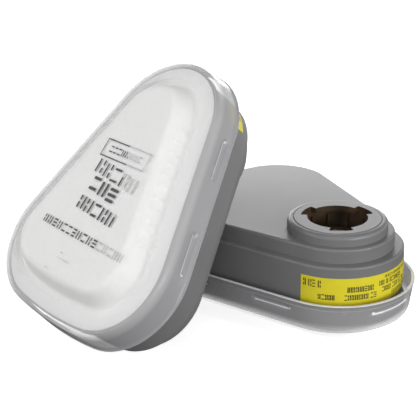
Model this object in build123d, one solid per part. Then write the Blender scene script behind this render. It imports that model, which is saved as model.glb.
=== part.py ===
from build123d import *
import math
import os

# A pair of snap-together respirator cartridges. One lies on its retainer with the
# bayonet socket up; the other leans on it. Millimetres, +Z up.
# Origin: on the lying cartridge's bayonet axis, in the plane that the pair stands on.

os.makedirs("parts", exist_ok=True)

# Outline of the body wall, seen along the bayonet axis. The nose arc is centred on that axis.
nose_radius = 26.0
corner_back = 54.8
corner_side = 17.3
corner_radius = 25.3
base_radius = 160.0

# Heights above the retainer's front plate
plate_front = 0.0
rim_front = 8.2
lip_height = 20.9
step_height = 34.4
deck_height = 40.0
collar_height = 44.4

# How far each outline stands outside (+) or inside (-) the body wall
plate_inset = -9.0
plate_foot_inset = -5.6
rim_offset = 2.9
lip_offset = 4.6
deck_inset = -3.8
flange_offset = 1.3

# Walls, rounds and fits
shell_wall = 1.4
cap_wall = 1.1
rim_round = 2.2
plate_round = 1.6
edge_round = 0.9
flange_height = 2.0
scrim_gap = 0.1  # between the filter stack and the wall round it

# Overlaps that only serve the solid model
join = 2.0  # how far one solid runs into the next before they are joined
cut = 1.0  # how far a cutting solid runs past the face that it opens

# Bayonet socket
socket_radius = 11.7
lug_notch_radius = 14.3
lug_notch_count = 3
lug_notch_angle = 38.6
lug_notch_start = -38.0
flange_thickness = 2.2
ring_radius = 17.2
ring_chamfer = 0.45
collar_radius = 19.5
collar_drop = 0.2  # the collar's top stands this far below the ring's
collar_round = 1.6
cup_radius = 15.2
cup_wall = 0.9
cup_floor = 33.4
cup_floor_thickness = 1.2
cup_land = 2.4  # solid edge of the floor, outside its windows
cup_hub_radius = 4.0
spoke_count = 3
spoke_width = 1.4
rib_count = 12
rib_width = 1.0
rib_depth = 1.2
rib_proud = 0.8  # how far it stands out of the wall
rib_top_gap = 2.0

# Filter stack, as heights above the front plate
inlet_low = 10.6
inlet_grid_thickness = 1.6
scrim_thickness = 1.2
inlet_hole_radius = 2.6
inlet_hole_pitch = 7.4
inlet_hole_margin = 3.0  # plate left between a hole and the wall
inlet_back_margin = 14.0  # holes reach this far behind the corner centres
inlet_half_rows = 6
inlet_columns = (-13, 4)
pad_gap = 0.3
pad_front_gap = 0.6
pad_foot_gap = 0.8
pad_edge_offset = 0.6

# Snap beads pressed into the retainer's skirt
bead_height = 18.0
bead_length = 16.0
bead_radius = 1.0
bead_shift = 0.4  # the recess and the bead behind it, moved outwards from the skirt's faces
bead_shares = (0.19, 0.85)

# Air slots along both long sides of the retainer's front plate
vent_count = 11
vent_pitch = 4.6
vent_width = 1.6
vent_length = 5.5
vent_low = 2.6
vent_high = 7.0

# Wrap label
label_thickness = 0.15
label_low = 18.6
label_high = 30.1
label_back = 11.1
label_turn = -7.7
label_box = (100.0, 120.0, 60.0)  # what it is cut from, larger than the nose

# Where the leaning cartridge stands: its own origin, the heading and rise of its nose,
# and its roll about its own length (180 would be square on its back)
lean_place = (-51.4, -54.6, 83.97)
lean_heading = 92.6
lean_rise = 48.0
lean_roll = 180.9


def tangent_angle():
    reach = math.hypot(corner_back, corner_side)
    turn = math.asin((nose_radius - corner_radius) / reach)
    return math.atan2(corner_back, corner_side) + turn


def polar(centre, radius, angle):
    return (centre[0] + radius * math.cos(angle), centre[1] + radius * math.sin(angle))


def outline(offset):
    """Closed outline, offset outwards from the body wall."""
    nose = nose_radius + offset
    corner = corner_radius + offset
    base = base_radius + offset
    side = tangent_angle()
    corner_centre = (-corner_back, corner_side)
    base_x = math.sqrt((base_radius - corner_radius) ** 2 - corner_side**2) - corner_back
    base_angle = math.atan2(corner_side, -corner_back - base_x)
    middle = (side + base_angle) / 2
    upper = [
        polar((0, 0), nose, side),
        polar(corner_centre, corner, side),
        polar(corner_centre, corner, middle),
        polar(corner_centre, corner, base_angle),
    ]
    lower = [(x, -y) for x, y in upper]
    edges = [
        ThreePointArc(lower[0], (nose, 0), upper[0]),
        Line(upper[0], upper[1]),
        ThreePointArc(upper[1], upper[2], upper[3]),
        ThreePointArc(upper[3], (base_x - base, 0), lower[3]),
        ThreePointArc(lower[3], lower[2], lower[1]),
        Line(lower[1], lower[0]),
    ]
    return Wire(edges)


def slab(offset, low, high):
    face = Pos(0, 0, low) * Face(outline(offset))
    return extrude(face, amount=high - low, dir=(0, 0, 1))


def taper(low_offset, low, high_offset, high):
    """Solid between two outlines, with straight sloping sides."""
    bottom = Pos(0, 0, low) * outline(low_offset)
    top = Pos(0, 0, high) * outline(high_offset)
    return Solid.make_loft([bottom, top], True)


def disc(radius, low, high):
    return Pos(0, 0, (low + high) / 2) * Cylinder(radius, high - low)


def edges_at(shape, height):
    return shape.edges().filter_by_position(Axis.Z, height - 0.01, height + 0.01)


def skirt_offset(height):
    """Outside of the retainer's skirt at a height."""
    share = (height - rim_front) / (lip_height - rim_front)
    return rim_offset + share * (lip_offset - rim_offset)


def housing():
    body = slab(0, inlet_low, step_height)
    body = fillet(edges_at(body, step_height), edge_round)
    deck = slab(deck_inset, step_height - join, deck_height)
    deck = fillet(edges_at(deck, deck_height), edge_round)
    collar_top = collar_height - collar_drop
    collar = disc(collar_radius, deck_height - join, collar_top)
    collar = fillet(edges_at(collar, collar_top), collar_round)
    flange = slab(flange_offset, inlet_low, inlet_low + flange_height)
    shell = body + deck + collar + flange
    shell -= slab(-shell_wall, inlet_low - cut, step_height - shell_wall)
    shell -= slab(deck_inset - shell_wall, step_height - join - cut, deck_height - shell_wall)
    shell -= disc(ring_radius, deck_height - join - cut, collar_height + cut)
    return shell


def bayonet_ring():
    """Welded-in socket ring: a flange with three lug notches over an undercut."""
    low = deck_height - shell_wall
    ring = disc(ring_radius, low, collar_height)
    ring = chamfer(edges_at(ring, collar_height), ring_chamfer)
    ring -= disc(cup_radius, low - cut, collar_height - flange_thickness)
    ring -= disc(socket_radius, low, collar_height + cut)
    for index in range(lug_notch_count):
        middle = lug_notch_start + index * 360 / lug_notch_count
        ring -= notch(middle)
    return ring


def notch(middle):
    """Wedge of the flange that a lug passes through."""
    half = math.radians(lug_notch_angle) / 2
    angle = math.radians(middle)
    start = polar((0, 0), lug_notch_radius, angle - half)
    centre = polar((0, 0), lug_notch_radius, angle)
    end = polar((0, 0), lug_notch_radius, angle + half)
    wedge = Wire([Line((0, 0), start), ThreePointArc(start, centre, end), Line(end, (0, 0))])
    face = Pos(0, 0, collar_height - flange_thickness - cut) * Face(wedge)
    return extrude(face, amount=flange_thickness + 2 * cut, dir=(0, 0, 1))


def outlet_cup():
    """Dark cup inside the socket, ribbed down its wall, with a spoked floor."""
    top = collar_height - flange_thickness
    inside = cup_floor + cup_floor_thickness
    cup = disc(cup_radius, cup_floor, top)
    cup -= disc(cup_radius - cup_wall, inside, top + cut)
    windows = disc(cup_radius - cup_land, cup_floor - cut, inside + cut)
    windows -= disc(cup_hub_radius, cup_floor - join, inside + join)
    spoke = Pos(0, 0, cup_floor) * Box(2 * cup_radius, spoke_width, 4 * join)
    for index in range(spoke_count):
        windows -= Rot(0, 0, 30 + index * 180 / spoke_count) * spoke
    cup -= windows
    rib_top = top - rib_top_gap
    rib_place = cup_radius - cup_wall - rib_proud + rib_depth / 2
    rib = Box(rib_depth, rib_width, rib_top - inside)
    rib = Pos(rib_place, 0, (inside + rib_top) / 2) * rib
    for index in range(rib_count):
        cup += Rot(0, 0, index * 360 / rib_count) * rib
    return cup


def outlet_scrim():
    low = cup_floor - scrim_thickness
    return slab(deck_inset - shell_wall - scrim_gap, low, cup_floor)


def carbon_bed():
    low = inlet_low + inlet_grid_thickness + scrim_thickness
    top = cup_floor - scrim_thickness
    return slab(-shell_wall - scrim_gap, low, top)


def inlet_scrim():
    low = inlet_low + inlet_grid_thickness
    return slab(-shell_wall - scrim_gap, low, low + scrim_thickness)


def inlet_grid():
    """Perforated cover welded into the inlet side."""
    plate = slab(-shell_wall, inlet_low, inlet_low + inlet_grid_thickness)
    middle = inlet_low + inlet_grid_thickness / 2
    spots = []
    for row in range(-inlet_half_rows, inlet_half_rows + 1):
        y = row * inlet_hole_pitch * math.sqrt(0.75)
        for column in range(inlet_columns[0], inlet_columns[1] + 1):
            x = (column + 0.5 * (row % 2)) * inlet_hole_pitch
            if hole_fits(x, y):
                spots.append((x, y, middle))
    depth = inlet_grid_thickness + 2 * cut
    holes = [Pos(*spot) * Cylinder(inlet_hole_radius, depth) for spot in spots]
    return plate - holes


def hole_fits(x, y):
    """True where a hole keeps its margin of plate between it and the wall."""
    room = nose_radius - shell_wall - inlet_hole_radius - inlet_hole_margin
    share = min(max(-x / corner_back, 0), 1)
    near_x = -share * corner_back
    near_y = share * corner_side
    if x < -corner_back - inlet_back_margin:
        return False
    return abs(y) < near_y + math.sqrt(max(room**2 - (x - near_x) ** 2, 0))


def wrap_label():
    """Printed band round the nose, stuck to the body wall."""
    band = slab(label_thickness, label_low, label_high)
    band -= slab(0, label_low - cut, label_high + cut)
    keep = Pos(label_box[0] / 2, 0, label_low) * Box(*label_box)
    return band & (Pos(label_back, 0, 0) * Rot(0, 0, label_turn) * keep)


def prefilter_pad():
    """Crowned felt pad between the inlet cover and the retainer's front."""
    low = plate_front + cap_wall + pad_gap
    shoulder = rim_front + cap_wall + pad_gap
    top = inlet_low - pad_gap
    foot = plate_foot_inset - cap_wall - pad_foot_gap
    front = plate_inset - cap_wall - pad_front_gap
    nub = taper(front, low, foot, shoulder)
    return nub + slab(pad_edge_offset, shoulder, top)


def bead_paths(offset):
    """Lines along the skirt that the snap beads follow: two a side, one at each end."""
    side = tangent_angle()
    near = polar((0, 0), nose_radius + offset, side)
    far = polar((-corner_back, corner_side), corner_radius + offset, side)
    length = math.dist(near, far)
    paths = []
    for share in bead_shares:
        start, end = (share - bead_length / length / 2, share + bead_length / length / 2)
        first = [near[axis] + start * (far[axis] - near[axis]) for axis in (0, 1)]
        last = [near[axis] + end * (far[axis] - near[axis]) for axis in (0, 1)]
        paths.append(Line((first[0], first[1], bead_height), (last[0], last[1], bead_height)))
        paths.append(Line((first[0], -first[1], bead_height), (last[0], -last[1], bead_height)))
    nose = nose_radius + offset
    half = bead_length / 2 / nose
    points = [(*polar((0, 0), nose, half * turn), bead_height) for turn in (-1, 0, 1)]
    paths.append(ThreePointArc(*points))
    base_x = math.sqrt((base_radius - corner_radius) ** 2 - corner_side**2) - corner_back
    base = base_radius + offset
    half = bead_length / 2 / base
    points = [(*polar((base_x, 0), base, math.pi + half * turn), bead_height) for turn in (-1, 0, 1)]
    paths.append(ThreePointArc(*points))
    return paths


def rod(path, radius):
    """Round bar with ball ends along a path."""
    start = Plane(origin=path @ 0, z_dir=path % 0)
    bar = sweep(start * Circle(radius), path=path)
    for spot in (path @ 0, path @ 1):
        bar += Pos(*spot) * Sphere(radius)
    return bar


def vents():
    """Air slots through the sloping long sides of the front plate."""
    side = tangent_angle()
    offset = (plate_inset + plate_foot_inset) / 2
    near = polar((0, 0), nose_radius + offset, side)
    far = polar((-corner_back, corner_side), corner_radius + offset, side)
    height = (vent_low + vent_high) / 2
    middle = Vector((near[0] + far[0]) / 2, (near[1] + far[1]) / 2, height)
    along = (Vector(*near) - Vector(*far)).normalized()
    slots = []
    for index in range(vent_count):
        spot = middle + along * (index - (vent_count - 1) / 2) * vent_pitch
        plane = Plane(origin=spot, x_dir=along, z_dir=(0, 0, 1))
        slot = plane * Box(vent_width, vent_length, vent_high - vent_low)
        slots.append(slot)
        slots.append(mirror(slot, Plane.XZ))
    return slots


def retainer_cap():
    """Thin push-fit cap: sloping skirt, rounded rim and a raised front plate."""
    outer = taper(rim_offset, rim_front, lip_offset, lip_height)
    outer = fillet(edges_at(outer, rim_front), rim_round)
    plate = taper(plate_inset, plate_front, plate_foot_inset, rim_front + cap_wall / 2)
    plate = fillet(edges_at(plate, plate_front), plate_round)
    inner = taper(rim_offset - cap_wall, rim_front + cap_wall, lip_offset - cap_wall, lip_height)
    inner = fillet(edges_at(inner, rim_front + cap_wall), rim_round - cap_wall)
    pocket_low = plate_front + cap_wall
    pocket_high = rim_front + cap_wall + pad_gap
    pocket = taper(plate_inset - cap_wall, pocket_low, plate_foot_inset - cap_wall, pocket_high)
    cap = outer + plate
    cap -= inner
    cap -= pocket
    cap -= vents()
    outside = skirt_offset(bead_height)
    for path in bead_paths(outside - cap_wall + bead_shift):
        cap += rod(path, bead_radius)
    for path in bead_paths(outside + bead_shift):
        cap -= rod(path, bead_radius)
    return cap


def place_leaning(shape):
    turn = Rot(0, 0, lean_heading) * Rot(0, -lean_rise, 0) * Rot(lean_roll, 0, 0)
    return Pos(*lean_place) * turn * shape


pieces = {
    "housing": housing,
    "bayonet_ring": bayonet_ring,
    "outlet_cup": outlet_cup,
    "outlet_scrim": outlet_scrim,
    "carbon_bed": carbon_bed,
    "inlet_scrim": inlet_scrim,
    "inlet_grid": inlet_grid,
    "wrap_label": wrap_label,
    "prefilter_pad": prefilter_pad,
    "retainer_cap": retainer_cap,
}

for name, make in pieces.items():
    shape = make()
    export_step(shape, f"parts/lying_{name}.step")
    export_step(place_leaning(shape), f"parts/leaning_{name}.step")
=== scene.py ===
import math
import random
import bpy
import bmesh
from mathutils import Matrix, Vector


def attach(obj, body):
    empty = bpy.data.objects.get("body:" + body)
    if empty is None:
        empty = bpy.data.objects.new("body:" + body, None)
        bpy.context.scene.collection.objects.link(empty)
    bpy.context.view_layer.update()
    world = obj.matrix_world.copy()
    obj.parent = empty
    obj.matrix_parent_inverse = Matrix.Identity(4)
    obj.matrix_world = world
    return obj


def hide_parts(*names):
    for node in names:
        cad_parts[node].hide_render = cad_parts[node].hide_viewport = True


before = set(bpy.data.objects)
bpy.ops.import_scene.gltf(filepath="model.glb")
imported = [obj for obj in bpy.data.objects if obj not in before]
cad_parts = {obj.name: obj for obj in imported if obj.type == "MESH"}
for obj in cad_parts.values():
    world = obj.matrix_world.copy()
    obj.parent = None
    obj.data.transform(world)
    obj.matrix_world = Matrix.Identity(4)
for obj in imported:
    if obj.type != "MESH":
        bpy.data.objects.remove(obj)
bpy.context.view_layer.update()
mm = 0.001
print("frame loaded:", len(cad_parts), "nodes")


# outline shared by both cartridges, the same numbers as the CAD part, in mm
outlineShape = {
    "noseRadius": 26.0,  # centred on the bayonet axis
    "cornerBack": 54.8,
    "cornerSide": 17.3,
    "cornerRadius": 25.3,
    "baseRadius": 160.0,
    "noseSteps": 26,
    "sideSteps": 75,  # six steps to a vent pitch of 4.6 mm
    "cornerSteps": 18,
    "baseSteps": 18,
}

leanPose = {
    "place": (-51.4, -54.6, 83.97),
    "heading": 92.6,  # degrees, where the nose points
    "rise": 48.0,  # how far the nose is tipped up
    "roll": 180.9,  # turned over, face out
}


def leanMatrix():
    turnNose = Matrix.Rotation(math.radians(leanPose["heading"]), 4, "Z")
    tipUp = Matrix.Rotation(-math.radians(leanPose["rise"]), 4, "Y")
    rollOver = Matrix.Rotation(math.radians(leanPose["roll"]), 4, "X")
    return Matrix.Translation(Vector(leanPose["place"])) @ turnNose @ tipUp @ rollOver


cartridges = {"lying": Matrix.Identity(4), "leaning": leanMatrix()}


def arcStations(kind, centre, radius, start, end, steps):
    # run is how far round its own arc a station is, in mm
    arc = []
    for step in range(steps + 1):
        angle = start + (end - start) * step / steps
        run = (angle - (0 if kind == "nose" else math.pi)) * radius
        arc.append({"kind": kind, "centre": centre, "radius": radius, "angle": angle, "run": run})
    return arc


def outlineStations():
    s = outlineShape
    reach = math.hypot(s["cornerBack"], s["cornerSide"])
    side = math.atan2(s["cornerBack"], s["cornerSide"])
    side += math.asin((s["noseRadius"] - s["cornerRadius"]) / reach)
    baseX = math.sqrt((s["baseRadius"] - s["cornerRadius"]) ** 2 - s["cornerSide"] ** 2) - s["cornerBack"]
    baseAngle = math.atan2(s["cornerSide"], -s["cornerBack"] - baseX)
    half = arcStations("nose", (0, 0), s["noseRadius"], 0, side, s["noseSteps"])
    for step in range(1, s["sideSteps"]):
        share = step / s["sideSteps"]
        centre = (-s["cornerBack"] * share, s["cornerSide"] * share)
        radius = s["noseRadius"] + (s["cornerRadius"] - s["noseRadius"]) * share
        station = {"kind": "side", "centre": centre, "radius": radius, "angle": side}
        station.update({"run": share * reach, "step": step})
        half.append(station)
    corner = (-s["cornerBack"], s["cornerSide"])
    half += arcStations("corner", corner, s["cornerRadius"], side, baseAngle, s["cornerSteps"])
    half += arcStations("base", (baseX, 0), s["baseRadius"], baseAngle, math.pi, s["baseSteps"])[1:]
    mirrored = []
    for station in half[-2:0:-1]:
        other = dict(station)
        other["centre"] = (station["centre"][0], -station["centre"][1])
        other["angle"] = -station["angle"]
        mirrored.append(other)
    return half + mirrored


stations = outlineStations()
sideReach = math.hypot(outlineShape["cornerBack"], outlineShape["cornerSide"])


def stationPoint(station, offset, height):
    radius = station["radius"] + offset
    x = station["centre"][0] + radius * math.cos(station["angle"])
    y = station["centre"][1] + radius * math.sin(station["angle"])
    return Vector((x, y, height))


def softProfile(corners, steps=5):
    # each corner is an offset from the outline, a height and how far back its rounding starts
    mostOfEdge = 0.49  # two roundings on one edge never meet
    points = []
    for index, (offset, height, radius) in enumerate(corners):
        here = Vector((offset, height))
        if index in (0, len(corners) - 1) or radius == 0:
            points.append(here)
            continue
        before = Vector(corners[index - 1][:2]) - here
        after = Vector(corners[index + 1][:2]) - here
        reachIn = min(radius, before.length * mostOfEdge)
        reachOut = min(radius, after.length * mostOfEdge)
        start = here + before.normalized() * reachIn
        end = here + after.normalized() * reachOut
        for step in range(steps + 1):
            t = step / steps
            points.append(start * (1 - t) ** 2 + here * 2 * t * (1 - t) + end * t ** 2)
    return points


def loopFaces(rows, count):
    # quads between neighbouring rows of a profile turned round the outline
    faces = []
    for row in range(rows - 1):
        low, high = row * count, (row + 1) * count
        for column in range(count):
            after = (column + 1) % count
            faces.append((low + column, low + after, high + after, high + column))
    return faces


def finishMesh(name, mesh, place, smoothAngle=35):
    # points are in mm in the cartridge's own frame until here
    mesh.transform(Matrix.Scale(mm, 4) @ place)
    bm = bmesh.new()
    bm.from_mesh(mesh)
    bmesh.ops.recalc_face_normals(bm, faces=bm.faces)
    bm.to_mesh(mesh)
    bm.free()
    mesh.shade_smooth()
    mesh.set_sharp_from_angle(angle=math.radians(smoothAngle))
    piece = bpy.data.objects.new(name, mesh)
    bpy.context.scene.collection.objects.link(piece)
    return piece


def linear(hexColour):
    # sRGB hex to a linear colour with full alpha
    parts = [int(hexColour[i:i + 2], 16) / 255 for i in (1, 3, 5)]
    return [p / 12.92 if p <= 0.04045 else ((p + 0.055) / 1.055) ** 2.4 for p in parts] + [1.0]


def addNode(material, kind, settings=None, inputs=None, links=None):
    node = material.node_tree.nodes.new(kind)
    for key, value in (settings or {}).items():
        setattr(node, key, value)
    for key, value in (inputs or {}).items():
        node.inputs[key].default_value = value
    for key, source in (links or {}).items():
        material.node_tree.links.new(source, node.inputs[key])
    return node


def newMaterial(name, **sockets):
    material = bpy.data.materials.new(name)
    material.use_nodes = True
    shader = material.node_tree.nodes["Principled BSDF"]
    for key, value in sockets.items():
        shader.inputs[key.replace("_", " ")].default_value = value
    return material, shader


def grainScale(sizeMm):
    # noise cells per metre for a grain of this size
    return 1000 / sizeMm


def tintedNoise(material, shader, darkHex, lightHex, sizeMm, low=0.35, high=0.65, detail=4.0):
    position = addNode(material, "ShaderNodeTexCoord").outputs["Object"]
    grain = {"Scale": grainScale(sizeMm), "Detail": detail}
    noise = addNode(material, "ShaderNodeTexNoise", None, grain, {"Vector": position})
    limits = {"From Min": low, "From Max": high}
    spread = addNode(material, "ShaderNodeMapRange", None, limits, {"Value": noise.outputs["Fac"]})
    colours = {6: linear(darkHex), 7: linear(lightHex)}  # the mix node's two colour sockets
    mix = addNode(material, "ShaderNodeMix", {"data_type": "RGBA"}, colours, {0: spread.outputs[0]})
    material.node_tree.links.new(mix.outputs[2], shader.inputs["Base Color"])
    return position


def grainBump(material, shader, position, sizeMm, heightMm, strength, detail=3.0):
    grain = {"Scale": grainScale(sizeMm), "Detail": detail}
    noise = addNode(material, "ShaderNodeTexNoise", None, grain, {"Vector": position})
    relief = {"Strength": strength, "Distance": heightMm * mm}
    bump = addNode(material, "ShaderNodeBump", None, relief, {"Height": noise.outputs["Fac"]})
    material.node_tree.links.new(bump.outputs["Normal"], shader.inputs["Normal"])
    return noise


def roughnessFrom(material, shader, noise, low, high):
    limits = {"To Min": low, "To Max": high}
    spread = addNode(material, "ShaderNodeMapRange", None, limits, {"Value": noise.outputs["Fac"]})
    material.node_tree.links.new(spread.outputs[0], shader.inputs["Roughness"])


def mouldedAbs():
    # satin injection-moulded ABS: even grey with a fine spark-eroded grain that breaks up highlights
    material, shader = newMaterial("mouldedAbsGrey", Roughness=0.4, IOR=1.54)
    position = tintedNoise(material, shader, "#717172", "#757576", 18)
    grain = grainBump(material, shader, position, 0.5, 0.03, 0.2)
    roughnessFrom(material, shader, grain, 0.34, 0.46)
    return material


def mouldedNylon():
    # dark glass-filled nylon, moulded: brown-black with a dull sheen
    material, shader = newMaterial("mouldedNylonBrown", Roughness=0.38, IOR=1.53)
    position = tintedNoise(material, shader, "#302417", "#54422e", 6)
    grainBump(material, shader, position, 0.4, 0.03, 0.2)
    return material


def mouldedPolypropyleneWithShade():
    # thin translucent polypropylene, moulded: clear where it lies on the felt, milky where it stands free;
    # as it gets milky its colour is painted grey, painted shade of the dark body seen through the skirt
    material, shader = newMaterial("mouldedPolypropyleneWithShade", Roughness=0.24, IOR=1.49)
    milkAndShade = addNode(material, "ShaderNodeAttribute", {"attribute_name": "milkAndShade"}).outputs["Fac"]
    shadeShare = addNode(material, "ShaderNodeMath", {"operation": "MULTIPLY"}, None, {0: milkAndShade, 1: milkAndShade})
    # colour from white to grey with the milkiness: painted shade of the dark body behind the skirt
    colours = {6: linear("#f2f2f3"), 7: linear("#a3a3a5")}
    tintWithShade = addNode(material, "ShaderNodeMix", {"data_type": "RGBA"}, colours, {0: shadeShare.outputs[0]})
    haze = addNode(material, "ShaderNodeMapRange", None, {"To Min": 0.07, "To Max": 0.8}, {"Value": milkAndShade})
    material.node_tree.links.new(tintWithShade.outputs[2], shader.inputs["Base Color"])
    material.node_tree.links.new(haze.outputs[0], shader.inputs["Alpha"])
    position = addNode(material, "ShaderNodeTexCoord").outputs["Object"]
    flow = grainBump(material, shader, position, 7, 0.05, 0.12, 1.0)
    roughnessFrom(material, shader, flow, 0.2, 0.3)
    return material


def polypropyleneEdgeHighlight():
    # painted highlight: the lip's end and the bead brims are painted white, standing in for light that
    # travels inside the thin wall and leaves at its edges
    material, shader = newMaterial("polypropyleneEdgeHighlight", Roughness=0.2, IOR=1.49, Alpha=0.85)
    tintedNoise(material, shader, "#e9e9eb", "#f4f4f6", 12)
    return material


def needledFelt(name, darkHex, lightHex, fibreMm):
    # needled felt: matt white mat of short fibres, drawn coarse enough to show
    material, shader = newMaterial(name, Roughness=0.95, IOR=1.5, Sheen_Weight=0.2)
    position = tintedNoise(material, shader, darkHex, lightHex, fibreMm, 0.3, 0.7, 6.0)
    grainBump(material, shader, position, fibreMm, 0.1, 0.25, 6.0)
    return material


def packedCarbon():
    # activated carbon granules, about 1 mm, packed: near-black with dull facets
    material, shader = newMaterial("packedCarbon", Roughness=0.7, IOR=1.6)
    position = addNode(material, "ShaderNodeTexCoord").outputs["Object"]
    cells = addNode(material, "ShaderNodeTexVoronoi", None, {"Scale": grainScale(1.1)}, {"Vector": position})
    depth = cells.outputs["Distance"]
    colours = {6: linear("#0d0d0e"), 7: linear("#2c2c2e")}
    mix = addNode(material, "ShaderNodeMix", {"data_type": "RGBA"}, colours, {0: depth})
    material.node_tree.links.new(mix.outputs[2], shader.inputs["Base Color"])
    relief = {"Strength": 0.8, "Distance": 0.4 * mm}
    bump = addNode(material, "ShaderNodeBump", None, relief, {"Height": depth})
    material.node_tree.links.new(bump.outputs["Normal"], shader.inputs["Normal"])
    return material


def printedVinyl():
    # printed vinyl label film: flat warm yellow under a light gloss
    material, shader = newMaterial("printedVinylYellow", Roughness=0.34, IOR=1.5)
    position = tintedNoise(material, shader, "#d9cb28", "#dfd232", 9)
    grainBump(material, shader, position, 1.5, 0.02, 0.15)
    return material


def flexoInk(name, darkHex, lightHex, speckMm):
    # flexographic ink: thin dark film, a little broken where it misses the surface
    material, shader = newMaterial(name, Roughness=0.6, IOR=1.5)
    tintedNoise(material, shader, darkHex, lightHex, speckMm)
    return material


materials = {
    "abs": mouldedAbs(),
    "nylon": mouldedNylon(),
    "cap": mouldedPolypropyleneWithShade(),
    "capEdgeHighlight": polypropyleneEdgeHighlight(),
    "pad": needledFelt("needledFeltWhite", "#e9e9e8", "#f0f0ef", 1.2),
    "scrim": needledFelt("needledScrimFelt", "#c9c9c4", "#e6e6e0", 0.9),
    "carbon": packedCarbon(),
    "label": printedVinyl(),
    "labelInk": flexoInk("labelInkBlack", "#26250f", "#4a4618", 1.2),
    "padInk": flexoInk("padInkBlack", "#060606", "#1a1a1a", 0.8),
    "padInkFaint": flexoInk("padInkFaint", "#b4b4b4", "#cdcdcd", 2.0),
}
print("materials made:", len(materials))


# rigid pieces that keep their CAD meshes
nodeMaterials = {
    "housing": "abs",
    "bayonet_ring": "abs",
    "outlet_cup": "nylon",
    "outlet_scrim": "scrim",
    "carbon_bed": "carbon",
    "inlet_scrim": "scrim",
    "inlet_grid": "abs",
}

for cartridge in cartridges:
    for part, finish in nodeMaterials.items():
        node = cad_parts[f"{cartridge}_{part}"]
        for index in range(max(1, len(node.data.materials))):
            if index < len(node.data.materials):
                node.data.materials[index] = materials[finish]
            else:
                node.data.materials.append(materials[finish])

socketShape = {
    "linerRadius": 14.9,  # mm, the dark liner shows on the upright faces inside this radius
    "uprightMost": 0.7,  # a face whose normal rises more than this isn't upright
}


def dressSocket(cartridge, place):
    # the cup's dark nylon lines the flange's inner faces
    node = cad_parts[f"{cartridge}_bayonet_ring"]
    node.data.materials.append(materials["nylon"])
    back = place.inverted()
    turn = back.to_3x3()
    for face in node.data.polygons:
        centre = back @ (face.center / mm)
        upright = abs((turn @ face.normal).z) < socketShape["uprightMost"]
        if upright and math.hypot(centre.x, centre.y) < socketShape["linerRadius"]:
            face.material_index = len(node.data.materials) - 1


for cartridge, place in cartridges.items():
    dressSocket(cartridge, place)
print("CAD pieces dressed")


# retainer cap: one closed shell turned round the outline, with vents and pressed snap beads, in mm
capShape = {
    "wall": 1.1,
    "centreInset": -23.5,  # insets and offsets are from the body's outline, heights from the plate
    "middleInset": -16.0,
    "plateInset": -9.0,
    "footInset": -5.6,
    "plateRound": 5.0,
    "plateInnerRound": 3.0,
    "footRound": 1.8,
    "footInnerRound": 0.8,
    "rimFront": 8.2,
    "rimOffset": 2.9,
    "rimRound": 3.2,
    "rimInnerRound": 1.6,
    "skirtStart": 13.0,
    "creaseHeight": 18.6,
    "creaseDepth": 0.3,
    "creaseStep": 0.2,
    "creaseRound": 0.1,
    "lipHeight": 20.9,
    "lipOffset": 4.6,
    "lipNeck": (0.25, 0.9),  # how far in, and how far below the lip's end
    "lipRoll": (0.1, 0.6),  # how far out, and how far below the lip's end
    "lipRollRound": 0.15,
    "lipRound": 0.25,
    "highlightDepth": 0.3,  # the part of the lip painted white as a highlight
    "ventLow": 2.9,
    "ventHigh": 6.6,
    "ventInnerDrop": 0.4,
    "ventCount": 11,
    "ventSteps": 2,
    "ventPitchSteps": 6,
    # milkiness of the plate, the rim and the skirt, and the heights between which it rises; it also greys
    # the colour, painted shade of the dark body behind the skirt
    "milkShadePlate": 0.0,
    "milkShadeRim": 0.3,
    "milkShadeSkirt": 1.0,
    "milkShadeHeights": (8.3, 12.5),
    "milkShadeFootBand": 0.5,
    "milkShadeInside": 0.4,  # the inner skin adds less, or the wall would count twice
}

beadShape = {
    "height": 17.0,
    "halfLength": 7.0,
    "halfWidth": 1.0,
    "depth": 0.55,
    "shares": (0.19, 0.85),  # where the two beads lie along a straight side
    "edge": 0.6,
    "rows": 13,
    "rowGap": 0.25,
    "rowStart": -1.5,
    "highlightFrom": 0.25,  # share of the depth between which the brim is painted white as a highlight
    "highlightTo": 0.85,
    "highlightAbove": 0.2,
    "outsideFrom": 2.0,  # only rows with a larger offset are pressed
}


def skirtOffset(height):
    c = capShape
    share = (height - c["rimFront"]) / (c["lipHeight"] - c["rimFront"])
    return c["rimOffset"] + share * (c["lipOffset"] - c["rimOffset"])


def beadDepth(station, height):
    b = beadShape
    if station["kind"] == "corner":
        return 0
    centres = [share * sideReach for share in b["shares"]] if station["kind"] == "side" else [0]
    away = min(abs(station["run"] - centre) for centre in centres)
    along = max(away - b["halfLength"], 0)
    distance = math.hypot(along, height - b["height"]) - b["halfWidth"]
    share = min(max(0.5 - distance / b["edge"] / 2, 0), 1)
    return b["depth"] * share * share * (3 - 2 * share)


def footSlope(height):
    # offset of the sloping foot between the plate and the rim
    c = capShape
    return c["plateInset"] + height / c["rimFront"] * (c["footInset"] - c["plateInset"])


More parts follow.
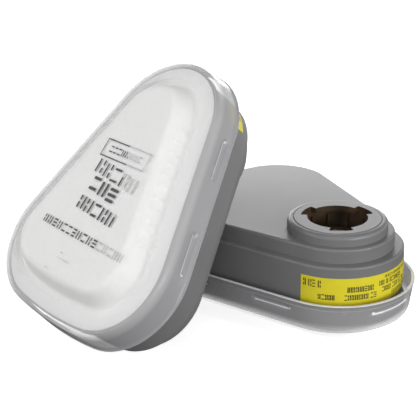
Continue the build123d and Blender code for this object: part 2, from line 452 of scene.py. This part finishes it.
def capProfile():
    c = capShape
    b = beadShape
    wall, crease, lip = c["wall"], c["creaseHeight"], c["lipOffset"]
    neckIn, neckDrop = c["lipNeck"]
    rollOut, rollDrop = c["lipRoll"]
    beadRows = [b["height"] + b["rowStart"] + row * b["rowGap"] for row in range(b["rows"])]
    outer = [
        (c["centreInset"], 0, 0),
        (c["middleInset"], 0, 0),
        (c["plateInset"], 0, c["plateRound"]),
        (footSlope(c["ventLow"]), c["ventLow"], 0),
        (footSlope(c["ventHigh"]), c["ventHigh"], 0),
        (c["footInset"], c["rimFront"], c["footRound"]),
        (c["rimOffset"], c["rimFront"], c["rimRound"]),
    ]
    outer += [(skirtOffset(height), height, 0) for height in [c["skirtStart"]] + beadRows]
    outer += [
        (skirtOffset(crease), crease, c["creaseRound"]),
        (skirtOffset(crease) - c["creaseDepth"], crease + c["creaseStep"], c["creaseRound"]),
        (lip - neckIn, c["lipHeight"] - neckDrop, c["creaseRound"]),
        (lip + rollOut, c["lipHeight"] - rollDrop, c["lipRollRound"]),
        (lip + rollOut, c["lipHeight"], c["lipRound"]),
    ]
    inner = [(lip - wall, c["lipHeight"], c["lipRound"])]
    innerRows = [crease] + beadRows[::-1] + [c["skirtStart"]]
    inner += [(skirtOffset(height) - wall, height, 0) for height in innerRows]
    floor = c["rimFront"] + wall
    drop = c["ventInnerDrop"]
    inner += [
        (c["rimOffset"] - wall, floor, c["rimInnerRound"]),
        (c["footInset"] - wall, floor, c["footInnerRound"]),
        (footSlope(c["ventHigh"]) - wall, c["ventHigh"] + drop, 0),
        (footSlope(c["ventLow"]) - wall, c["ventLow"] + drop, 0),
        (c["plateInset"] - wall, wall, c["plateInnerRound"]),
        (c["middleInset"], wall, 0),
        (c["centreInset"], wall, 0),
    ]
    return softProfile(outer + inner)


def onEdge(start, end):
    # the lip's rolled end, painted white as a highlight
    return (start[1] + end[1]) / 2 > capShape["lipHeight"] - capShape["highlightDepth"]


def rowMilkAndShade(offset, height, isInside):
    # milkiness of a row: sets the haze and the painted shade in the cap's colour
    c = capShape
    low, high = c["milkShadeHeights"]
    rise = min(max((height - low) / (high - low), 0), 1)
    front = c["milkShadePlate"] if offset < c["footInset"] + c["milkShadeFootBand"] else c["milkShadeRim"]
    milkAndShade = front + (c["milkShadeSkirt"] - front) * rise * rise * (3 - 2 * rise)
    return milkAndShade * c["milkShadeInside"] if isInside else milkAndShade


def ringRows(profile, move):
    rows = []
    for offset, height in profile:
        rows.append([stationPoint(s, offset - move(s, offset, height), height) for s in stations])
    return rows


def ventStations():
    c = capShape
    first = (outlineShape["sideSteps"] - (c["ventCount"] - 1) * c["ventPitchSteps"] - c["ventSteps"]) // 2
    steps = set()
    for vent in range(c["ventCount"]):
        for extra in range(c["ventSteps"]):
            steps.add(first + vent * c["ventPitchSteps"] + extra)
    return steps


def ventStep(column):
    # which quad of the straight side a column is, counted from the nose on both sides
    here = stations[column]
    after = stations[(column + 1) % len(stations)]
    if here["kind"] == "side" and after["kind"] == "side":
        return min(here["step"], after["step"])
    return -1


def isBrimHighlight(station, height):
    # the slope of the pressed bead on its plate side, painted white as a highlight where it catches the
    # light
    b = beadShape
    share = beadDepth(station, height) / b["depth"]
    return b["highlightFrom"] < share < b["highlightTo"] and height < b["height"] + b["highlightAbove"]


def makeCap(cartridge, place):
    c = capShape
    profile = capProfile()
    # the bead is pressed through the wall, so the skirt's skins move in together
    skirtFrom = beadShape["outsideFrom"]
    rows = ringRows(profile, lambda s, offset, height: beadDepth(s, height) if offset > skirtFrom else 0)
    count = len(stations)
    verts = [point for row in rows for point in row]
    heights = [round(height, 4) for _, height in profile]
    outerVent = heights.index(round(c["ventLow"], 4))
    innerVent = heights.index(round(c["ventHigh"] + c["ventInnerDrop"], 4))
    ventSteps = ventStations()
    lipEnd = max(range(len(profile)), key=lambda row: profile[row][1])
    highlightRows = {row for row in range(len(rows) - 1) if onEdge(profile[row], profile[row + 1])}
    faces = []
    slots = []
    for row in range(len(rows) - 1):
        for column in range(count):
            if row in (outerVent, innerVent) and ventStep(column) in ventSteps:
                continue
            after = (column + 1) % count
            low, high = row * count, (row + 1) * count
            faces.append((low + column, low + after, high + after, high + column))
            isSkirt = outerVent < row < innerVent
            # the white slot is a painted highlight on the lip's end and the bead brims
            isPaintedHighlight = row in highlightRows or (isSkirt and isBrimHighlight(stations[column], heights[row]))
            slots.append(1 if isPaintedHighlight else 0)
    # walls of each vent, between the outer and inner skins
    outLow, outHigh = outerVent * count, (outerVent + 1) * count
    inHigh, inLow = innerVent * count, (innerVent + 1) * count
    for column in range(count):
        if ventStep(column) not in ventSteps:
            continue
        after = (column + 1) % count
        faces.append((outLow + column, outLow + after, inLow + after, inLow + column))
        faces.append((outHigh + column, outHigh + after, inHigh + after, inHigh + column))
        for edge, neighbour in ((column, (column - 1) % count), (after, after)):
            if ventStep(neighbour) not in ventSteps:
                faces.append((outLow + edge, outHigh + edge, inHigh + edge, inLow + edge))
    faces.append(tuple(range(count)))
    faces.append(tuple(range((len(rows) - 1) * count, len(rows) * count)))
    slots += [0] * (len(faces) - len(slots))
    mesh = bpy.data.meshes.new(f"{cartridge}Cap")
    mesh.from_pydata(verts, [], faces)
    mesh.materials.append(materials["cap"])
    mesh.materials.append(materials["capEdgeHighlight"])
    for face, slot in zip(mesh.polygons, slots):
        face.material_index = slot
    # per point milkiness: haze, and painted shade of the dark body behind the skirt
    milkAndShade = mesh.attributes.new("milkAndShade", "FLOAT", "POINT")
    for row, (offset, height) in enumerate(profile):
        for column in range(count):
            milkAndShade.data[row * count + column].value = rowMilkAndShade(offset, height, row > lipEnd)
    cap = finishMesh(f"{cartridge}RetainerCap", mesh, place)
    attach(cap, f"{cartridge}_retainer")
    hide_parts(f"{cartridge}_retainer_cap")


for cartridge, place in cartridges.items():
    makeCap(cartridge, place)
print("retainer caps made")


# prefilter pad: crowned felt, with its pinched edge clamped under the cap's rim, in mm
padShape = {
    "front": 1.35,
    "frontInsets": (-23.5, -20.0, -16.0),  # rows across the flat front
    "frontInset": -11.2,
    "frontRound": 3.5,
    "footInset": -7.7,
    "footRound": 1.6,
    "edgeFront": 9.7,
    "edgeMiddle": -3.0,
    "edgeOffset": 0.5,
    "edgeRound": 0.3,
    "back": 10.25,
    "backInsets": (-4.0, -12.0, -23.5),
    "seeds": {"lying": 7, "leaning": 11},
    "waveCount": 6,
    "waveRates": (0.05, 0.16),  # radians a mm
    "waveHeight": 0.25,
    "waveBelow": 6.0,  # rows nearer the front than this swell
}


def makePad(cartridge, place):
    p = padShape
    corners = [(inset, p["front"], 0) for inset in p["frontInsets"]]
    corners += [
        (p["frontInset"], p["front"], p["frontRound"]),
        (p["footInset"], p["edgeFront"], p["footRound"]),
        (p["edgeMiddle"], p["edgeFront"], 0),
        (p["edgeOffset"], p["edgeFront"], p["edgeRound"]),
        (p["edgeOffset"], p["back"], p["edgeRound"]),
    ]
    corners += [(inset, p["back"], 0) for inset in p["backInsets"]]
    profile = softProfile(corners)
    rows = ringRows(profile, lambda s, offset, height: 0)
    count = len(stations)
    rng = random.Random(p["seeds"][cartridge])
    waves = []
    for _ in range(p["waveCount"]):
        waves.append((rng.uniform(*p["waveRates"]), rng.uniform(0, math.tau), rng.uniform(0, math.tau)))
    verts = []
    for row, (offset, height) in zip(rows, profile):
        for point in row:
            ripple = sum(math.sin(f * point.x + a) * math.cos(f * point.y + b) for f, a, b in waves)
            lift = p["waveHeight"] * (1 + ripple / len(waves)) if height < p["waveBelow"] else 0
            verts.append(point + Vector((0, 0, lift)))
    faces = loopFaces(len(rows), count)
    faces.append(tuple(range(count)))
    faces.append(tuple(range((len(rows) - 1) * count, len(rows) * count)))
    mesh = bpy.data.meshes.new(f"{cartridge}Pad")
    mesh.from_pydata(verts, [], faces)
    mesh.materials.append(materials["pad"])
    pad = finishMesh(f"{cartridge}PrefilterPad", mesh, place, 60)
    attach(pad, f"{cartridge}_retainer")
    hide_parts(f"{cartridge}_prefilter_pad")


for cartridge, place in cartridges.items():
    makePad(cartridge, place)
print("pads made")


# print on the pad: rows of plain bars that stand in for lines of text, in mm
printShape = {
    "height": 0.9,  # just inside the plate's wall, clear of the felt
    "seed": 3,
    "pieceLength": 0.6,  # a stroke is cut this short, so that it can go faint part way
    "widthSpread": (0.85, 1.1),
    # past a slanting line the pad leaves the plate and the print goes faint
    "fadeStart": (-16.4, 4.5),
    "fadeSlope": 0.5,
    "fadeMost": 16.0,
    "frame": (-19.9, -12.9, -10.6, 16.0, 0.42),  # low and high along, start and end across, line
    # each line: middle along the length, height, lean, start and end across, mark width, gap, stroke
    "lines": (
        (-16.4, 2.6, 0.0, -6.6, 12.6, 1.3, 0.8, 0.5),
        (-24.9, 5.6, -0.11, -8.0, 14.6, 3.0, 1.7, 0.85),
        (-31.9, 5.6, -0.13, -5.4, 12.0, 3.4, 1.7, 1.2),
        (-40.1, 5.2, -0.07, -6.4, 13.6, 2.6, 1.4, 0.95),
        (-51.4, 3.2, -0.01, -19.6, 30.0, 1.6, 1.1, 0.6),
    ),
    # bars of each mark on a unit square: uprights and dashes kept apart, so that none reads as a letter
    "marks": (
        ((0, 0, 0, 1), (1, 0, 1, 1)),
        ((0, 0, 0, 1), (1, 0.0, 1, 0.3), (1, 0.7, 1, 1)),
        ((0, 0, 1, 0), (0, 0.5, 1, 0.5), (0, 1, 1, 1)),
        ((0, 0, 0, 0.35), (0, 0.75, 0, 1), (1, 0, 1, 1)),
        ((0, 0, 1, 0), (0, 1, 1, 1)),
    ),
    # stray ink: along, across, height, width
    "specks": ((-60.4, 0.0, 0.6, 0.6), (-62.4, -0.4, 0.3, 7.5), (-68.0, -4.0, 0.7, 0.6)),
}


def fadeLine(along):
    fadeAlong, fadeAcross = printShape["fadeStart"]
    return min(printShape["fadeMost"], fadeAcross + (fadeAlong - along) * printShape["fadeSlope"])


def stroke(verts, faces, slots, start, end, thick):
    # one straight bar between two points (along, across), cut where the print goes faint
    start, end = Vector(start), Vector(end)
    length = (end - start).length
    pieces = max(1, round(length / printShape["pieceLength"]))
    ahead = (end - start).normalized() * thick / 2
    side = Vector((-ahead.y, ahead.x))
    for piece in range(pieces):
        first = start.lerp(end, piece / pieces)
        last = start.lerp(end, (piece + 1) / pieces)
        if piece == 0:
            first = first - ahead
        if piece == pieces - 1:
            last = last + ahead
        index = len(verts)
        corners = (first - side, last - side, last + side, first + side)
        verts += [(corner.x, corner.y, printShape["height"]) for corner in corners]
        faces.append((index, index + 1, index + 2, index + 3))
        middle = (first + last) / 2
        slots.append(1 if middle.y > fadeLine(middle.x) else 0)


def makePrint(cartridge, place):
    verts, faces, slots = [], [], []
    low, high, start, end, line = printShape["frame"]
    corners = ((low, start), (high, start), (high, end), (low, end))
    for index in range(4):
        stroke(verts, faces, slots, corners[index], corners[(index + 1) % 4], line)
    rng = random.Random(printShape["seed"])
    for middle, tall, lean, start, end, width, gap, thick in printShape["lines"]:
        across = start
        while across < end:
            wide = width * rng.uniform(*printShape["widthSpread"])
            low = middle - tall / 2 + lean * across
            for x0, y0, x1, y1 in rng.choice(printShape["marks"]):
                first = (low + thick / 2 + (tall - thick) * y0, across + wide * x0)
                last = (low + thick / 2 + (tall - thick) * y1, across + wide * x1)
                stroke(verts, faces, slots, first, last, thick)
            across += wide + thick + gap
    for along, across, tall, wide in printShape["specks"]:
        middle = along + tall / 2
        before = len(slots)
        stroke(verts, faces, slots, (middle, across), (middle, across + wide), tall)
        slots[before:] = [1] * (len(slots) - before)
    mesh = bpy.data.meshes.new(f"{cartridge}Print")
    mesh.from_pydata(verts, [], faces)
    mesh.materials.append(materials["padInk"])
    mesh.materials.append(materials["padInkFaint"])
    for face, slot in zip(mesh.polygons, slots):
        face.material_index = slot
    ink = finishMesh(f"{cartridge}PadPrint", mesh, place)
    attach(ink, f"{cartridge}_retainer")


for cartridge, place in cartridges.items():
    makePrint(cartridge, place)
print("pad print made")


# wrap label: film round the nose, with rows of plain bars for its print, in mm
labelShape = {
    "low": 18.6,
    "high": 30.1,
    "back": 0.02,  # the film's back, off the wall
    "film": 0.15,
    "steps": 60,
    "farEnd": -25.0,  # run 0 is the nose tip, and + is the side with the film's longer end
    "nearEnd": 33.6,
    "lift": 0.04,  # ink stands this far off the film
    "seed": 5,
    "widthSpread": (0.8, 1.1),
    "wordBreak": 0.12,  # share of the gaps that are wide
    "wordGap": 4,
    # each row: middle height, mark height, start and end along the wall, mark width, gap, stroke
    "rows": (
        (22.4, 2.2, 4.2, 17.6, 0.7, 0.25, 0.42),
        (22.4, 2.2, 20.6, 26.6, 0.7, 0.25, 0.42),
        (25.6, 2.2, 5.6, 16.4, 0.7, 0.25, 0.42),
        (27.5, 2.9, 25.8, 32.6, 0.8, 0.25, 0.4),
        (23.6, 2.0, -14.0, 2.4, 0.7, 0.25, 0.4),
        (26.4, 2.0, -10.0, 3.8, 0.7, 0.25, 0.4),
        (28.6, 1.1, -20.0, 1.2, 0.8, 0.3, 0.25),
        (21.0, 1.4, -22.0, -4.0, 0.9, 0.3, 0.3),
    ),
}


def wallPoint(run, height, lift):
    # a point on the body wall, run mm along it from the nose tip, towards -Y
    s = outlineShape
    side = next(station["angle"] for station in stations if station["kind"] == "side")
    noseRun = side * s["noseRadius"]
    sign = -1 if run > 0 else 1
    away = abs(run)
    if away <= noseRun:
        angle = away / s["noseRadius"]
        radius = s["noseRadius"] + lift
        return Vector((radius * math.cos(angle), sign * radius * math.sin(angle), height))
    share = (away - noseRun) / sideReach
    radius = s["noseRadius"] + (s["cornerRadius"] - s["noseRadius"]) * share + lift
    x = -s["cornerBack"] * share + radius * math.cos(side)
    y = s["cornerSide"] * share + radius * math.sin(side)
    return Vector((x, sign * y, height))


def makeLabel(cartridge, place):
    label = labelShape
    steps = label["steps"]
    reach = label["nearEnd"] - label["farEnd"]
    verts, faces = [], []
    for lift in (label["back"], label["film"]):
        for height in (label["low"], label["high"]):
            for step in range(steps + 1):
                verts.append(wallPoint(label["farEnd"] + reach * step / steps, height, lift))
    # rows are back low, back high, front low and front high
    row = steps + 1
    for first, second in ((0, 1), (3, 2), (1, 3), (2, 0)):
        low, high = first * row, second * row
        for step in range(steps):
            faces.append((low + step, low + step + 1, high + step + 1, high + step))
    faces.append((0, row, 3 * row, 2 * row))
    faces.append((steps, row + steps, 3 * row + steps, 2 * row + steps))
    mesh = bpy.data.meshes.new(f"{cartridge}Label")
    mesh.from_pydata(verts, [], faces)
    mesh.materials.append(materials["label"])
    film = finishMesh(f"{cartridge}WrapLabel", mesh, place)
    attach(film, f"{cartridge}_cartridge")
    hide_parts(f"{cartridge}_wrap_label")


def makeLabelPrint(cartridge, place):
    label = labelShape
    rng = random.Random(label["seed"])
    flat, faces, slots = [], [], []
    for middle, tall, start, end, width, gap, thick in label["rows"]:
        run = start
        while run < end - width:
            wide = width * rng.uniform(*label["widthSpread"])
            for x0, y0, x1, y1 in rng.choice(printShape["marks"]):
                first = (middle + (tall - thick) * (0.5 - y0), run + wide * x0)
                last = (middle + (tall - thick) * (0.5 - y1), run + wide * x1)
                stroke(flat, faces, slots, first, last, thick)
            run += wide + thick + gap * (label["wordGap"] if rng.random() < label["wordBreak"] else 1)
    verts = [wallPoint(run, height, label["film"] + label["lift"]) for height, run, _ in flat]
    mesh = bpy.data.meshes.new(f"{cartridge}LabelPrint")
    mesh.from_pydata(verts, [], faces)
    mesh.materials.append(materials["labelInk"])
    ink = finishMesh(f"{cartridge}LabelPrint", mesh, place)
    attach(ink, f"{cartridge}_cartridge")


for cartridge, place in cartridges.items():
    makeLabel(cartridge, place)
    makeLabelPrint(cartridge, place)
print("labels made")


# floor, light and camera
studio = {
    "floorSize": 30.0,
    "floorCells": 30,
    "floorGlow": 0.75,  # the sweep is lit from below as well, as on a light table
    "worldHex": "#ffffff",
    "worldStrength": 0.11,
    "horizonStrength": 0.8,  # pale haze where the sweep ends
    "horizonRise": 0.12,  # sine of the angle at which the haze has faded out
    "boxSize": (1.4, 0.8),
    "boxDistance": 2.0,
    "boxTarget": (-0.02, -0.03, 0.04),
    # softboxes: degrees round from +Y towards +X, degrees up, watts
    "boxes": {
        "backBox": (-53, 12, 16.5),
        "backRightBox": (-8, 12, 3),
        "rightBox": (37, 12, 4),
        "nearRightBox": (82, 12, 25.5),
        "nearBox": (127, 12, 6),
        "nearLeftBox": (172, 12, 8),
        "leftBox": (217, 12, 4),
        "highLeftBox": (217, 38, 12.5),
        "topBox": (127, 68, 7.5),  # draws the bright line along every rounded edge
    },
}


def makeFloor():
    # matt paper sweep: pale, without a highlight
    glow = {"Emission_Color": linear("#ffffff"), "Emission_Strength": studio["floorGlow"]}
    material, shader = newMaterial("studioPaper", Roughness=0.9, IOR=1.5, **glow)
    tintedNoise(material, shader, "#f3f3f3", "#f5f5f5", 60)
    bm = bmesh.new()
    cells = studio["floorCells"]
    bmesh.ops.create_grid(bm, x_segments=cells, y_segments=cells, size=studio["floorSize"] / 2)
    mesh = bpy.data.meshes.new("studioFloor")
    bm.to_mesh(mesh)
    bm.free()
    mesh.materials.append(material)
    floor = bpy.data.objects.new("studioFloor", mesh)
    bpy.context.scene.collection.objects.link(floor)
    floor.visible_diffuse = False  # a black cloth stands between the object and the sweep's bounce
    floor.visible_glossy = False


def makeSoftbox(name, turn, rise, power):
    lamp = bpy.data.lights.new(name, "AREA")
    lamp.energy = power
    lamp.shape = "RECTANGLE"
    lamp.size, lamp.size_y = studio["boxSize"]
    light = bpy.data.objects.new(name, lamp)
    around, up = math.radians(turn), math.radians(rise)
    away = Vector((math.sin(around) * math.cos(up), math.cos(around) * math.cos(up), math.sin(up)))
    light.location = away * studio["boxDistance"]
    aim = Vector(studio["boxTarget"]) - light.location
    light.rotation_euler = aim.to_track_quat("-Z", "Y").to_euler()
    bpy.context.scene.collection.objects.link(light)


def makeWorld():
    world = bpy.data.worlds.new("softRoom")
    world.use_nodes = True
    background = world.node_tree.nodes["Background"]
    background.inputs["Color"].default_value = linear(studio["worldHex"])
    direction = addNode(world, "ShaderNodeTexCoord").outputs["Generated"]
    upward = addNode(world, "ShaderNodeSeparateXYZ", None, None, {0: direction}).outputs["Z"]
    rise = addNode(world, "ShaderNodeMath", {"operation": "ABSOLUTE"}, None, {0: upward})
    limits = {"From Max": studio["horizonRise"]}
    limits.update({"To Min": studio["horizonStrength"], "To Max": studio["worldStrength"]})
    smooth = {"interpolation_type": "SMOOTHSTEP"}
    haze = addNode(world, "ShaderNodeMapRange", smooth, limits, {"Value": rise.outputs[0]})
    world.node_tree.links.new(haze.outputs[0], background.inputs["Strength"])
    bpy.context.scene.world = world


cameraShape = {
    "place": (0.2567, -0.2543, 0.1898),
    "heading": -53.1,  # degrees round from +Y towards +X
    "rise": -21.61,  # degrees, looking down
    "roll": -0.95,
    "lens": 85.7,  # mm
    "sensor": 36.0,  # mm
}


def makeCamera():
    lens = bpy.data.cameras.new("studioCamera")
    lens.lens = cameraShape["lens"]
    lens.sensor_width = cameraShape["sensor"]
    camera = bpy.data.objects.new("studioCamera", lens)
    heading = Matrix.Rotation(-math.radians(cameraShape["heading"]), 4, "Z")
    tilt = Matrix.Rotation(math.radians(90 + cameraShape["rise"]), 4, "X")
    roll = Matrix.Rotation(math.radians(cameraShape["roll"]), 4, "Z")
    camera.matrix_world = Matrix.Translation(Vector(cameraShape["place"])) @ heading @ tilt @ roll
    bpy.context.scene.collection.objects.link(camera)
    bpy.context.scene.camera = camera


makeFloor()
makeWorld()
for name, (turn, rise, power) in studio["boxes"].items():
    makeSoftbox(name, turn, rise, power)
makeCamera()
bpy.context.scene.view_settings.view_transform = "Standard"
print("studio set")
